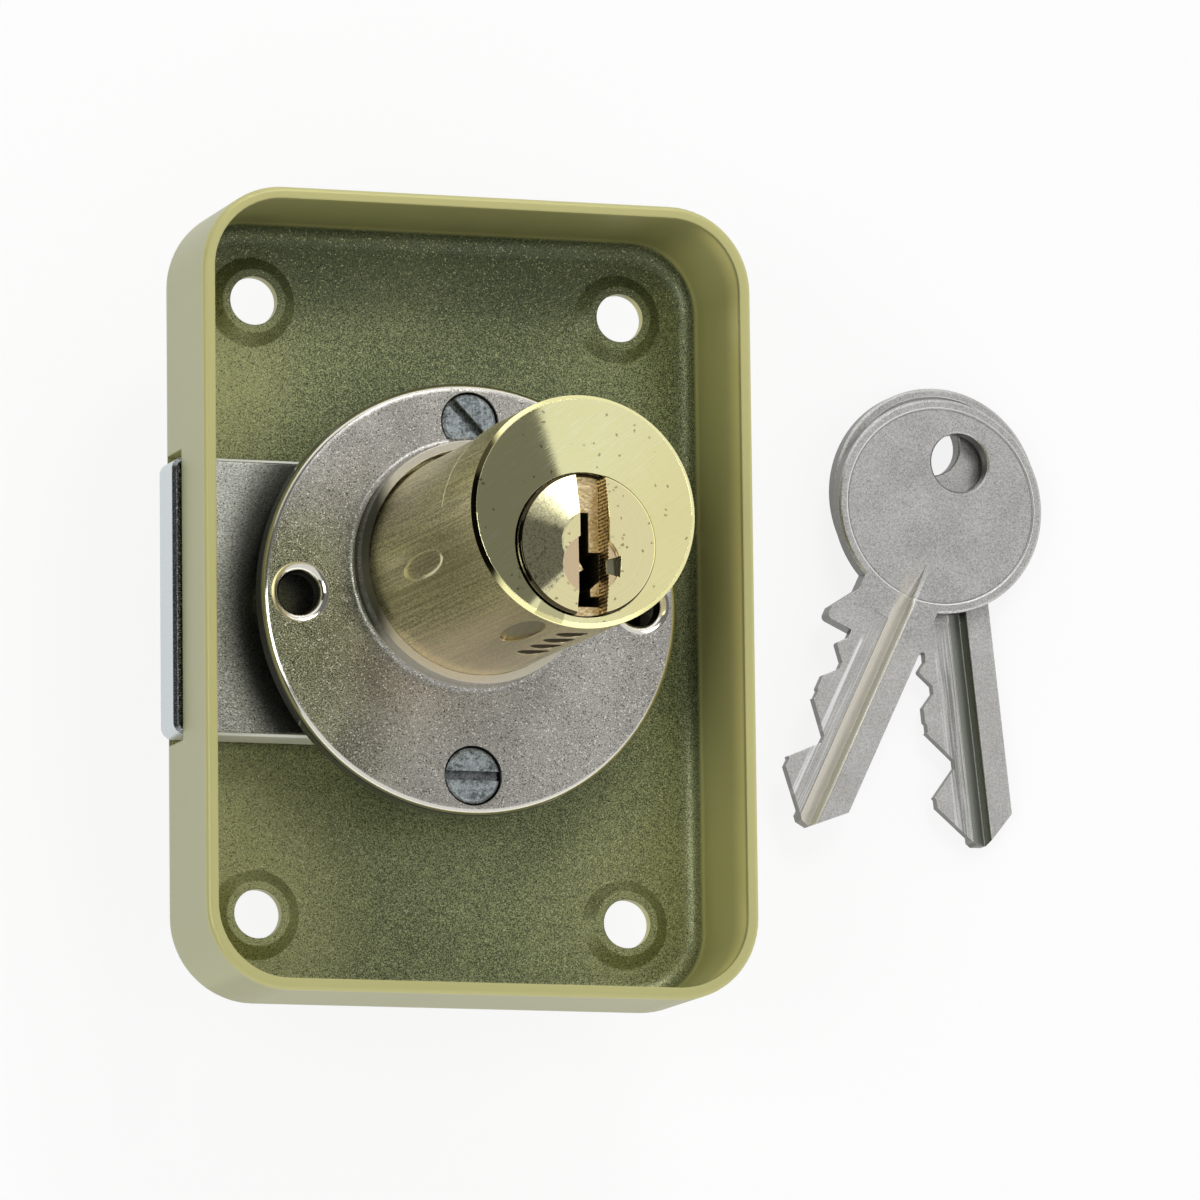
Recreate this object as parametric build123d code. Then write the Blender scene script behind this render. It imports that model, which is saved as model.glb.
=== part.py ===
from build123d import *
import math
import os

# Rim lock with its two keys. Sizes in millimetres.
# X is to the right and Y up when the lock is seen from the door side.
# Z runs along the lock cylinder, out of the open side of the case.
# The origin lies on the key plug's axis, in the plane of the case's rim,
# which is the face that rests against the door.

# Case: a pressed steel tray, open towards the door
case_width = 58.0
case_height = 81.0
case_depth = 16.0
sheet = 1.2
case_corner_r = 8.5
case_back_r = 3.2
rim_edge_r = 0.5
floor_z = -case_depth + sheet

# Four fixing holes, each on a boss pressed in from the room side
fixing_dx = 39.2
fixing_dy = 62.6
fixing_hole_d = 5.0
boss_base_d = 9.2
boss_top_d = 6.6
boss_height = 1.0
dish_mouth_d = 9.0

# Bush in the middle of the case floor
bush_flange_d = 12.0
bush_flange_thickness = 0.7
bush_barrel_d = 7.4
bush_swage_d = 8.6
bush_swage_height = 0.5
bush_top_z = floor_z + bush_flange_thickness

# Bolt: a flat steel plate that slides along X just above the bush
bolt_height = 28.1
bolt_thickness = 5.2
bolt_bush_gap = 0.4
bolt_bottom_z = bush_top_z + bolt_bush_gap
bolt_top_z = bolt_bottom_z + bolt_thickness
bolt_proud = 0.8
bolt_end_chamfer = 0.4
bolt_shoulder_x = 13.5
bolt_tail_x = 22.0
bolt_tail_low_y = -6.2
bolt_tail_high_y = 7.6
bolt_corner_r = 1.2
bolt_slot_gap = 0.35
bolt_guide_gap = 0.3

# Rack and pinion that drive the bolt, one turn for the full throw
gear_module = 0.5
pinion_teeth = 10
pressure_angle = 25.0
tooth_stub = 0.8
tooth_root = 1.1
tooth_play = 0.1
pitch_r = gear_module * pinion_teeth / 2
throw = 2 * math.pi * pitch_r
pinion_tip_r = pitch_r + tooth_stub * gear_module
pinion_root_r = pitch_r - tooth_root * gear_module
window_end_gap = 1.0
window_side_gap = 0.5

# Two riveted posts that carry the plate; their shoulders guide the bolt's edges
post_d = 4.6
post_guide_gap = 0.35
post_shoulder_lap = 0.75
post_shoulder_length = 8.0
post_collar_height = 1.2
post_top_length = 1.1
post_hole_depth = 7.2
rivet_d = 4.0
rivet_head_d = 6.4
rivet_head_height = 0.7

# Round plate that carries the lock cylinder
plate_d = 44.0
plate_thickness = 2.2
plate_bottom_z = bolt_top_z + bolt_guide_gap + post_collar_height + post_top_length
plate_top_z = plate_bottom_z + plate_thickness
plate_edge_r = 0.9
neck_wall = 0.85
neck_height = 2.6
neck_fillet = 0.6
plate_hole_circle_d = 36.0
side_tap_d = 4.2
side_mouth_r = 0.95

# Plate screws, one in each post
screw_head_d = 5.65
screw_head_height = 1.5
screw_head_play = 0.22
screw_head_chamfer = 0.3
screw_shank_d = 3.0
screw_shank_length = 7.0
screw_slot_width = 0.95
screw_slot_depth = 0.9
screw_hole_play = 0.15
top_screw_angle = -46.4

# Lock cylinder body, set off upwards from the key plug
body_r = 11.5
body_rise = 3.35
body_length = 38.0
body_front_z = plate_bottom_z + body_length
body_front_chamfer = 0.45
head_length = 10.0
rear_drop = 0.45
body_fit = 0.02
flange_r = 12.6
flange_thickness = 0.8
flange_post_gap = 0.3
body_rear_z = plate_bottom_z - flange_thickness

# Shallow oval reliefs and drilled pockets in the side of the body
oval_length = 12.4
oval_width = 2.5
oval_depth = 0.3
oval_high_angle = 196.2
oval_high_set_back = 17.2
oval_low_angle = 250.4
oval_low_set_back = 8.0
pocket_d = 3.2
pocket_depth = 1.2
pocket_shift = 0.25

# Key plug
plug_head_r = 7.05
plug_barrel_r = 6.3
plug_play = 0.05
plug_head_play = 0.12
plug_head_length = 3.4
plug_proud = 0.9
plug_cone_rise = 1.2
plug_flat_r = 3.1
plug_rim_chamfer = 0.2
plug_tail_length = 1.8
rear_wall = 3.4
face_slot_width = 3.0
face_slot_x = 0.32
key_stop_depth = 1.1
side_notch_width = 1.2
side_notch_inner_height = 1.4
side_notch_outer_height = 2.1
side_notch_depth = 1.3
side_notch_y = -2.3
entry_r = 2.9
entry_y = -2.1
entry_depth = 0.55
plug_rim_z = body_front_z + plug_proud
plug_face_z = plug_rim_z + plug_cone_rise
plug_shoulder_z = plug_rim_z - plug_head_length
key_stop_z = body_front_z - key_stop_depth

# Pin chambers, first one measured back from the key's stop
pin_count = 4
pin_first = 4.0
pin_pitch = 4.0
chamber_d = 2.8
pin_d = 2.7
pin_tip_chamfer = 0.7
pin_top_gap = 0.12
driver_length = 3.6
driver_edge_chamfer = 0.2
driver_gap = 0.12
cap_thickness = 1.5
spring_wire_d = 0.32
spring_d = 2.3
spring_turns = 5
spring_end_gap = 0.1

# Key: every height is measured from the back edge of the blade
key_thickness = 2.2
key_blade_height = 8.6
key_tip_length = 4.85
key_blade_length = pin_first + (pin_count - 1) * pin_pitch + key_tip_length
key_cut_first = 7.3
key_cut_second = 8.4
key_cut_third = 5.8
key_cut_fourth = 8.3
key_cut_flat = 0.8
key_cut_angle = 42.0
key_tip_height = 3.1
key_tip_rise = 3.15
key_nose_height = 4.3
key_nose_set_back = 0.1
key_nose_slope_run = 4.7
key_stop_height = 10.8
key_stop_width = 1.3
key_stop_round = 0.5
key_notch_run = 0.95
key_notch_depth = 0.8
key_neck_length = 4.3
key_neck_height = 8.9
key_bow_d = 22.8
key_bow_centre = 16.6
key_bow_rise = 4.4
key_bow_edge = 0.25
key_rim_width = 0.95
key_rim_height = 0.15
ring_hole_d = 6.3
ring_hole_offset = 5.27
ring_hole_edge = 0.2

# Front face of the blade: a V groove that runs out to a point on the bow,
# and a broad shallow band beside it
key_groove_low = 2.55
key_groove_bottom = 3.15
key_groove_floor = 0.1
key_groove_high = 4.7
key_groove_depth = 0.75
key_groove_full = 4.2
key_groove_run = 11.9
key_band_high = 6.35
key_band_depth = 0.07
key_band_run = 3.0

# Back face of the blade: a slanted groove near the back edge, and a thin upper part
back_groove_low = 0.4
back_groove_bottom = 1.25
back_groove_high = 2.2
back_groove_depth = 0.95
key_step_height = 4.75
key_step_back = 1.1

# Keyway in the plug
keyway_play = 0.12
keyway_headroom = 0.05
keyway_foot = 0.4
keyway_x = 0.6
blade_bottom_y = -5.42
keyway_end_gap = 0.5
keyway_end_z = key_stop_z - key_blade_length - keyway_end_gap

# Rear end of the plug, with its clip and the tail bar
rear_bore_z = keyway_end_z - rear_wall
plug_end_z = rear_bore_z - plug_tail_length
clip_thickness = 0.8
clip_r = 6.85
clip_groove_r = 5.2
clip_gap_width = 5.0
clip_play = 0.08
tail_width = 5.2
tail_thickness = 1.5
tail_seat = 3.0
tail_play = 0.12
tail_end_gap = 0.15

# Spindle with pinion and hub
hub_d = 8.6
hub_rise = 0.7
hub_top_z = plate_top_z + hub_rise
hub_gap = 0.4
hub_slot_depth = 2.5
hub_edge_chamfer = 0.25
journal_d = 4.4
journal_play = 0.04
pinion_square = 2.4
spindle_square = 3.0
pinion_seat_gap = 0.1

# Turn knob on the room side; the lock lies on its face
knob_reach = 18.0
knob_face_z = -case_depth - knob_reach
knob_d = 27.0
knob_neck_d = 15.0
knob_neck_length = 4.0
knob_flare = 3.0
knob_edge_r = 1.6
knob_flutes = 12
flute_r = 3.2
flute_depth = 0.7
knob_recess_d = 8.0
knob_recess_depth = 2.6
knob_screw_head_d = 6.4
knob_screw_head_height = 1.9
knob_screw_d = 2.0
knob_screw_length = 6.0
knob_screw_slot = 1.2
knob_screw_slot_depth = 0.8
spindle_end_lift = 5.5
spindle_end_z = knob_face_z + spindle_end_lift
washer_d = 16.0
washer_thickness = 0.5
washer_gap = 0.05

# Where the two keys lie on the ground beside the lock
key_stack_gap = 0.3
front_key_x = 60.4
front_key_y = 15.8
front_key_angle = -25.6
rear_key_x = 60.9
rear_key_y = 17.4
rear_key_angle = 5.8

plate_hole_r = plate_hole_circle_d / 2
post_x = 0.0
post_y = plate_hole_r
body_axis = (0, body_rise)
fixing_points = [
    (sx * fixing_dx / 2, sy * fixing_dy / 2) for sx in (-1, 1) for sy in (-1, 1)
]
pin_zs = [key_stop_z - pin_first - i * pin_pitch for i in range(pin_count)]
key_cuts = [key_cut_first, key_cut_second, key_cut_third, key_cut_fourth]
bolt_slot_half = bolt_height / 2 + 2 * bolt_slot_gap
bolt_left_x = -case_width / 2 - bolt_proud

# How far a cutter runs past the face that it opens
cut_margin = 1.0


def disk(r, z0, z1, x=0.0, y=0.0):
    """Round bar along Z from z0 to z1."""
    return Pos(x, y, (z0 + z1) / 2) * Cylinder(r, z1 - z0)


def block(x0, x1, y0, y1, z0, z1):
    """Box between the given limits."""
    middle = Pos((x0 + x1) / 2, (y0 + y1) / 2, (z0 + z1) / 2)
    return middle * Box(x1 - x0, y1 - y0, z1 - z0)


def upright(r, y0, y1, z, x=0.0):
    """Round bar along Y from y0 to y1."""
    return Pos(x, (y0 + y1) / 2, z) * Rot(90, 0, 0) * Cylinder(r, y1 - y0)


def prism(points, z0, z1):
    """Closed outline in XY, carried from z0 to z1."""
    face = Plane.XY.offset(z0) * make_face(Polyline(*points, close=True))
    return extrude(face, z1 - z0, dir=(0, 0, 1))


def edges_at(shape, z, tol=0.01):
    """Edges that lie flat at the height z."""
    found = []
    for edge in shape.edges():
        box = edge.bounding_box()
        if abs(box.min.Z - z) < tol and abs(box.max.Z - z) < tol:
            found.append(edge)
    return ShapeList(found)


def save(shape, name):
    """Write one node."""
    export_step(shape, "parts/" + name + ".step")


def tray():
    """Drawn shell of the case, without its openings."""
    outline = RectangleRounded(case_width, case_height, case_corner_r)
    outer = extrude(Plane.XY.offset(-case_depth) * outline, case_depth)
    outer = fillet(edges_at(outer, -case_depth), case_back_r)
    outer = fillet(edges_at(outer, 0), rim_edge_r)
    inner_outline = RectangleRounded(
        case_width - 2 * sheet, case_height - 2 * sheet, case_corner_r - sheet
    )
    inner = extrude(Plane.XY.offset(floor_z) * inner_outline, case_depth)
    inner = fillet(edges_at(inner, floor_z), case_back_r - sheet)
    return outer - inner


def make_case():
    """Pressed tray with fixing bosses, bolt slot, rivet holes and bush hole."""
    shape = tray()
    boss_slope = (boss_base_d - boss_top_d) / 2
    for x, y in fixing_points:
        boss = Pos(x, y, floor_z + boss_height / 2)
        shape += boss * Cone(boss_base_d / 2, boss_top_d / 2, boss_height)
    for x, y in fixing_points:
        dish = Pos(x, y, -case_depth + boss_height / 2)
        small = dish_mouth_d / 2 - boss_slope
        shape -= dish * Cone(dish_mouth_d / 2, small, boss_height)
        shape -= disk(fixing_hole_d / 2, -case_depth, floor_z + 2 * boss_height, x, y)
    shape -= block(
        -case_width / 2 - cut_margin, -case_width / 2 + case_back_r,
        -bolt_slot_half, bolt_slot_half,
        bolt_bottom_z - bolt_slot_gap, bolt_top_z + bolt_slot_gap,
    )
    for side in (-1, 1):
        shape -= disk(rivet_d / 2, -case_depth, floor_z, side * post_x, side * post_y)
    shape -= disk(bush_barrel_d / 2, -case_depth, floor_z)
    return shape


def post_shoulder(reach_y, z0, z1):
    """Block beside the upper post that reaches in towards the bolt."""
    half = post_shoulder_length / 2
    return block(post_x - half, post_x + half, reach_y, post_y, z0, z1)


def make_upper_post():
    """Post above the bolt: its shoulders hold the bolt's edge on three sides."""
    guide_top = bolt_top_z + bolt_guide_gap
    foot_top = bolt_bottom_z - bolt_guide_gap
    guide_y = bolt_height / 2 + post_guide_gap
    lap_y = bolt_height / 2 - post_shoulder_lap
    shape = disk(post_d / 2, floor_z, plate_bottom_z, post_x, post_y)
    shape += post_shoulder(lap_y, floor_z, foot_top)
    shape += post_shoulder(guide_y, foot_top, guide_top)
    shape += post_shoulder(lap_y, guide_top, guide_top + post_collar_height)
    shape += disk(rivet_d / 2, -case_depth, floor_z, post_x, post_y)
    head_low = -case_depth - rivet_head_height
    head = disk(rivet_head_d / 2, head_low, -case_depth, post_x, post_y)
    head = chamfer(edges_at(head, head_low), rivet_head_height / 2)
    shape += head
    shape -= disk(
        screw_shank_d / 2, plate_bottom_z - post_hole_depth, plate_bottom_z, post_x, post_y
    )
    return shape


def make_guide_posts():
    """The two posts above and below the bolt."""
    upper = make_upper_post()
    return Compound(children=[Rot(0, 0, 180) * upper, upper])


def make_cylinder_plate():
    """Round plate with a raised neck, two screw seats and two tapped holes."""
    shape = disk(plate_d / 2, plate_bottom_z, plate_top_z)
    shape = fillet(edges_at(shape, plate_top_z), plate_edge_r)
    neck_top = plate_top_z + neck_height
    neck_r = body_r + body_fit + neck_wall
    shape += disk(neck_r, plate_bottom_z, neck_top, *body_axis)
    root = [e for e in edges_at(shape, plate_top_z) if abs(e.radius - neck_r) < 0.01]
    shape = fillet(root, neck_fillet)
    shape -= disk(body_r + body_fit, plate_bottom_z, neck_top, *body_axis)
    for side in (-1, 1):
        seat_z = plate_top_z - screw_head_height
        seat_r = screw_head_d / 2 + screw_head_play
        hole_r = screw_shank_d / 2 + screw_hole_play
        tap_at = (side * post_y, -side * post_x)
        shape -= disk(seat_r, seat_z, plate_top_z, side * post_x, side * post_y)
        shape -= disk(hole_r, plate_bottom_z, plate_top_z, side * post_x, side * post_y)
        shape -= disk(side_tap_d / 2, plate_bottom_z, plate_top_z, *tap_at)
    mouths = [e for e in edges_at(shape, plate_top_z) if abs(e.radius - side_tap_d / 2) < 0.01]
    return fillet(mouths, side_mouth_r)


def make_plate_screw(side, angle):
    """Cheese-head screw in its seat, with its slot turned as it was driven."""
    seat_z = plate_top_z - screw_head_height
    head = disk(screw_head_d / 2, seat_z, plate_top_z)
    head = chamfer(edges_at(head, plate_top_z), screw_head_chamfer)
    slot = block(
        -screw_head_d, screw_head_d, -screw_slot_width / 2, screw_slot_width / 2,
        plate_top_z - screw_slot_depth, plate_top_z,
    )
    shank = disk(screw_shank_d / 2, seat_z - screw_shank_length, seat_z)
    return Pos(side * post_x, side * post_y, 0) * Rot(0, 0, angle) * (head - slot + shank)


def make_plate_screws():
    """The two screws that hold the plate on the posts."""
    low = make_plate_screw(-1, 0)
    high = make_plate_screw(1, top_screw_angle)
    return Compound(children=[low, high])


def body_envelope():
    """Outside of the lock cylinder: round head, rear part relieved above."""
    step_z = body_front_z - head_length
    head = disk(body_r, step_z, body_front_z, *body_axis)
    head = chamfer(edges_at(head, body_front_z), body_front_chamfer)
    rear = disk(body_r, body_rear_z, step_z, *body_axis)
    rear &= disk(body_r, body_rear_z, step_z, 0, body_rise - rear_drop)
    return head + rear


def oval_relief(angle, z):
    """Cutter for a shallow oval relief at an angle round the body."""
    outline = Ellipse(oval_length / 2, oval_width / 2)
    ax = math.cos(math.radians(angle))
    ay = math.sin(math.radians(angle))
    start = body_r - oval_depth
    base = Plane(
        origin=(start * ax, body_rise + start * ay, z), x_dir=(0, 0, 1), z_dir=(ax, ay, 0)
    )
    return extrude(base * outline, 2 * oval_depth)


def make_cylinder_body():
    """Brass body with plug bore, pin chambers, reliefs, pockets and rear flange."""
    shape = body_envelope()
    flange = disk(flange_r, body_rear_z, plate_bottom_z, *body_axis)
    flat_y = plate_hole_r - post_d / 2 - flange_post_gap
    shape += flange & block(
        -plate_d, plate_d, -plate_d, flat_y, body_rear_z, plate_bottom_z
    )
    head_seat_z = plug_shoulder_z - plug_play
    shape -= disk(plug_barrel_r + plug_play, rear_bore_z, head_seat_z)
    shape -= disk(plug_head_r + plug_head_play, head_seat_z, body_front_z)
    shape -= disk(plug_head_r + plug_play, body_rear_z, rear_bore_z)
    low_y = body_rise - body_r
    for z in pin_zs:
        shape -= upright(chamber_d / 2, 0, body_rise + body_r + cut_margin, z)
        shape -= upright(
            pocket_d / 2, low_y - cut_margin, low_y + pocket_depth, z, pocket_shift
        )
    shape -= oval_relief(oval_high_angle, body_front_z - oval_high_set_back)
    shape -= oval_relief(oval_low_angle, body_front_z - oval_low_set_back)
    return shape


def cap_bottom_y():
    """Height of the underside of the chamber caps."""
    return body_rise + body_r - rear_drop - cap_thickness


def make_chamber_caps():
    """Brass caps that close the pin chambers, dressed flush with the body."""
    envelope = body_envelope()
    caps = []
    for z in pin_zs:
        bar = upright(chamber_d / 2, cap_bottom_y(), body_rise + body_r + cut_margin, z)
        caps.append((bar & envelope).solids()[0])
    return Compound(children=caps)


def driver_bottom_y():
    """Height of the lower end of the driver pins, just above the plug."""
    return plug_barrel_r + driver_gap


def make_driver_pins():
    """Pins that the springs press towards the plug."""
    pins = []
    for z in pin_zs:
        y0 = driver_bottom_y()
        pin = upright(pin_d / 2, y0, y0 + driver_length, z)
        pins.append(chamfer(pin.edges().filter_by(GeomType.CIRCLE), driver_edge_chamfer))
    return Compound(children=pins)


def make_pin_springs():
    """Small coil springs between driver pins and caps."""
    y0 = driver_bottom_y() + driver_length + spring_end_gap + spring_wire_d / 2
    y1 = cap_bottom_y() - spring_end_gap - spring_wire_d / 2
    coil_r = (spring_d - spring_wire_d) / 2
    path = Helix((y1 - y0) / spring_turns, y1 - y0, coil_r)
    section = Plane(origin=path @ 0, z_dir=path % 0) * Circle(spring_wire_d / 2)
    coil = sweep(section, path=path, is_frenet=True).solids()[0]
    springs = [Pos(0, y0, z) * Rot(-90, 0, 0) * coil for z in pin_zs]
    return Compound(children=springs)


def key_section(grow=0.0, top=key_blade_height, foot=0.0):
    """Blade section: height above the back edge along X, thickness along Y."""
    front = key_thickness / 2
    back = -front
    front_floor = front - key_groove_depth + grow
    back_floor = back + back_groove_depth - grow
    thin_back = back + key_step_back - grow
    return [
        (-foot - grow, back - grow),
        (back_groove_low + grow, back - grow),
        (back_groove_low + grow, back_floor),
        (back_groove_bottom, back_floor),
        (back_groove_high - grow, back - grow),
        (key_step_height + grow, back - grow),
        (key_step_height + grow, thin_back),
        (top + grow, thin_back),
        (top + grow, front + grow),
        (key_groove_high - grow, front + grow),
        (key_groove_bottom + key_groove_floor, front_floor),
        (key_groove_bottom, front_floor),
        (key_groove_low + grow, front + grow),
        (-foot - grow, front + grow),
    ]


def make_plug():
    """Key plug: coned front, face slot, keyway, pin chambers and tail seat."""
    shape = disk(plug_barrel_r, plug_end_z, plug_shoulder_z)
    head = disk(plug_head_r, plug_shoulder_z, plug_rim_z)
    shape += chamfer(edges_at(head, plug_rim_z), plug_rim_chamfer)
    cone = Cone(plug_head_r - plug_rim_chamfer, plug_flat_r, plug_cone_rise)
    shape += Pos(0, 0, plug_rim_z + plug_cone_rise / 2) * cone
    slot_right = face_slot_x + face_slot_width / 2
    shape -= block(
        face_slot_x - face_slot_width / 2, slot_right, -body_r, body_r,
        key_stop_z, plug_face_z + cut_margin,
    )
    inner = side_notch_inner_height / 2
    outer = side_notch_outer_height / 2
    notch = [
        (slot_right - cut_margin, side_notch_y - inner), (slot_right, side_notch_y - inner),
        (slot_right + side_notch_width, side_notch_y - outer),
        (slot_right + side_notch_width, side_notch_y + outer),
        (slot_right, side_notch_y + inner), (slot_right - cut_margin, side_notch_y + inner),
    ]
    shape -= prism(notch, plug_face_z - side_notch_depth, plug_face_z + cut_margin)
    shape -= disk(entry_r, plug_face_z - entry_depth, plug_face_z + cut_margin, 0, entry_y)
    section = key_section(keyway_play, key_blade_height + keyway_headroom, keyway_foot)
    way = prism([(keyway_x - t, blade_bottom_y + h) for h, t in section], keyway_end_z, key_stop_z)
    shape -= way
    for z, cut in zip(pin_zs, key_cuts):
        seat_y = blade_bottom_y + cut - pin_tip_chamfer
        shape -= upright(chamber_d / 2, seat_y, plug_head_r, z)
    groove_z = rear_bore_z - clip_play - clip_thickness
    groove = disk(plug_barrel_r + cut_margin, groove_z - clip_play, groove_z + clip_thickness)
    shape -= groove - disk(clip_groove_r, groove_z - clip_play, groove_z + clip_thickness)
    shape -= block(
        -tail_width / 2, tail_width / 2, -tail_thickness / 2, tail_thickness / 2,
        plug_end_z, plug_end_z + tail_seat,
    )
    return shape


def make_key_pins():
    """Key pins, raised to the plug's surface as the key holds them."""
    pins = []
    for z, cut in zip(pin_zs, key_cuts):
        low = blade_bottom_y + cut
        high = math.sqrt(plug_barrel_r ** 2 - (pin_d / 2) ** 2) - pin_top_gap
        pin = upright(pin_d / 2, low, high, z)
        tip = [e for e in pin.edges().filter_by(GeomType.CIRCLE) if e.center().Y < low + 0.01]
        pins.append(chamfer(tip, pin_tip_chamfer))
    return Compound(children=pins)


def make_plug_clip():
    """Open ring in the groove at the plug's rear end."""
    z0 = rear_bore_z - clip_play - clip_thickness
    ring = disk(clip_r, z0, z0 + clip_thickness) - disk(clip_groove_r, z0, z0 + clip_thickness)
    mouth = block(-clip_gap_width / 2, clip_gap_width / 2, -clip_r, 0, z0, z0 + clip_thickness)
    return (ring - mouth).solids()[0]


def make_tail_bar():
    """Flat bar that carries the plug's turn down to the spindle hub."""
    low_z = hub_top_z - hub_slot_depth + tail_end_gap
    return block(
        -tail_width / 2, tail_width / 2, -tail_thickness / 2, tail_thickness / 2,
        low_z, plug_end_z + tail_seat,
    )


def make_spindle_bush():
    """Flanged bush swaged into the middle of the case floor."""
    low = -case_depth - bush_swage_height
    shape = disk(bush_flange_d / 2, floor_z, bush_top_z)
    shape += disk(bush_barrel_d / 2, -case_depth, floor_z)
    swage = disk(bush_swage_d / 2, low, -case_depth)
    shape += chamfer(edges_at(swage, low), bush_swage_height / 2)
    return shape - disk(journal_d / 2 + journal_play, low, bush_top_z)


def hub_low_z():
    """Height of the hub's lower face, just above the bolt."""
    return bolt_top_z + hub_gap


def make_drive_spindle():
    """Spindle: square end for pinion and hub, journal, square end for the knob."""
    pinion_low = bush_top_z + pinion_seat_gap
    journal_low = -case_depth - bush_swage_height
    inner = pinion_square / 2
    outer = spindle_square / 2
    shape = block(-inner, inner, -inner, inner, pinion_low, hub_top_z - hub_slot_depth)
    shape += disk(journal_d / 2, journal_low, pinion_low)
    shape += block(-outer, outer, -outer, outer, spindle_end_z, journal_low)
    return shape - disk(knob_screw_d / 2, spindle_end_z, spindle_end_z + knob_screw_length)


def make_drive_hub():
    """Hub on the spindle's upper square, with a cross slot for the tail bar."""
    half = pinion_square / 2
    slot = tail_thickness / 2 + tail_play
    shape = disk(hub_d / 2, hub_low_z(), hub_top_z)
    shape = chamfer(edges_at(shape, hub_top_z), hub_edge_chamfer)
    shape -= block(-hub_d, hub_d, -slot, slot, hub_top_z - hub_slot_depth, hub_top_z)
    return shape - block(-half, half, -half, half, hub_low_z(), hub_top_z)


def involute(base_r, r):
    """Angle of the involute at the radius r."""
    ratio = math.sqrt((r / base_r) ** 2 - 1)
    return ratio - math.atan(ratio)


def pinion_outline():
    """Outline of the pinion, one tooth pointing at the rack."""
    base_r = pitch_r * math.cos(math.radians(pressure_angle))
    at_pitch = involute(base_r, pitch_r)
    half_tooth = math.pi / (2 * pinion_teeth) - tooth_play / (2 * pitch_r)
    radii = [base_r + (pinion_tip_r - base_r) * k / 4 for k in range(5)]
    points = []
    for i in range(pinion_teeth):
        middle = math.pi / 2 + 2 * math.pi * i / pinion_teeth
        flank = [(r, half_tooth + at_pitch - involute(base_r, r)) for r in radii]
        rise = [(r, middle - a) for r, a in [(pinion_root_r, flank[0][1])] + flank]
        fall = [(r, middle + a) for r, a in flank[::-1] + [(pinion_root_r, flank[0][1])]]
        points += [(r * math.cos(a), r * math.sin(a)) for r, a in rise + fall]
    return points


def make_drive_pinion():
    """Pinion on the spindle's square, inside the bolt's window."""
    half = pinion_square / 2
    low = bush_top_z + pinion_seat_gap
    shape = prism(pinion_outline(), low, hub_low_z())
    return shape - block(-half, half, -half, half, low, hub_low_z())


def rack_window():
    """Outline of the bolt's window, with the rack along its upper side."""
    left = -pinion_tip_r - window_end_gap
    right = throw + pinion_tip_r + window_end_gap
    low = -pinion_tip_r - window_side_gap
    tip_y = pitch_r - tooth_stub * gear_module
    root_y = pitch_r + tooth_root * gear_module
    pitch = math.pi * gear_module
    slope = math.tan(math.radians(pressure_angle))
    half = pitch / 4 - tooth_play / 2
    half_tip = half - (pitch_r - tip_y) * slope
    half_root = half + (root_y - pitch_r) * slope
    points = [(left, low), (right, low), (right, root_y)]
    first = math.ceil((left + half_root) / pitch - 0.5)
    last = math.floor((right - half_root) / pitch - 0.5)
    for k in range(last, first - 1, -1):
        x = (k + 0.5) * pitch
        points += [(x + half_root, root_y), (x + half_tip, tip_y)]
        points += [(x - half_tip, tip_y), (x - half_root, root_y)]
    return points + [(left, root_y)]


def make_bolt():
    """Flat bolt with a rounded end, stepped tail and rack window."""
    half = bolt_height / 2
    plate = block(bolt_left_x, bolt_shoulder_x, -half, half, bolt_bottom_z, bolt_top_z)
    plate = fillet(plate.edges().filter_by(Axis.Z), bolt_corner_r)
    plate = chamfer(plate.faces().sort_by(Axis.X)[0].edges(), bolt_end_chamfer)
    tail = block(0, bolt_tail_x, bolt_tail_low_y, bolt_tail_high_y, bolt_bottom_z, bolt_top_z)
    right = [e for e in tail.edges().filter_by(Axis.Z) if e.center().X > bolt_tail_x / 2]
    tail = fillet(right, bolt_corner_r)
    return plate + tail - prism(rack_window(), bolt_bottom_z, bolt_top_z)


def washer_top_z():
    """Height of the knob washer's upper face."""
    return -case_depth - bush_swage_height - washer_gap


def make_knob_washer():
    """Thin washer between the case and the knob."""
    top = washer_top_z()
    shape = disk(washer_d / 2, top - washer_thickness, top)
    return shape - disk(journal_d / 2 + journal_play, top - washer_thickness, top)


def make_knob():
    """Fluted turn knob with a square socket and a screw recess in its face."""
    top = washer_top_z() - washer_thickness
    neck_r = knob_neck_d / 2
    grip_r = knob_d / 2
    neck_z = top - knob_neck_length
    grip_z = neck_z - knob_flare
    profile = Polyline(
        (0, top), (neck_r, top), (neck_r, neck_z), (grip_r, grip_z),
        (grip_r, knob_face_z), (0, knob_face_z), close=True,
    )
    shape = revolve(Plane.XZ * make_face(profile), Axis.Z)
    rims = edges_at(shape, knob_face_z) + edges_at(shape, grip_z)
    shape = fillet(rims, knob_edge_r)
    for i in range(knob_flutes):
        turn = Rot(0, 0, 360 * i / knob_flutes)
        centre = grip_r + flute_r - flute_depth
        shape -= turn * disk(flute_r, knob_face_z - cut_margin, neck_z, centre)
    half = spindle_square / 2
    shape -= block(-half, half, -half, half, spindle_end_z, top)
    recess_top = knob_face_z + knob_recess_depth
    shape -= disk(knob_recess_d / 2, knob_face_z, recess_top)
    return shape - disk(knob_screw_d / 2 + screw_hole_play, recess_top, spindle_end_z)


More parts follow.
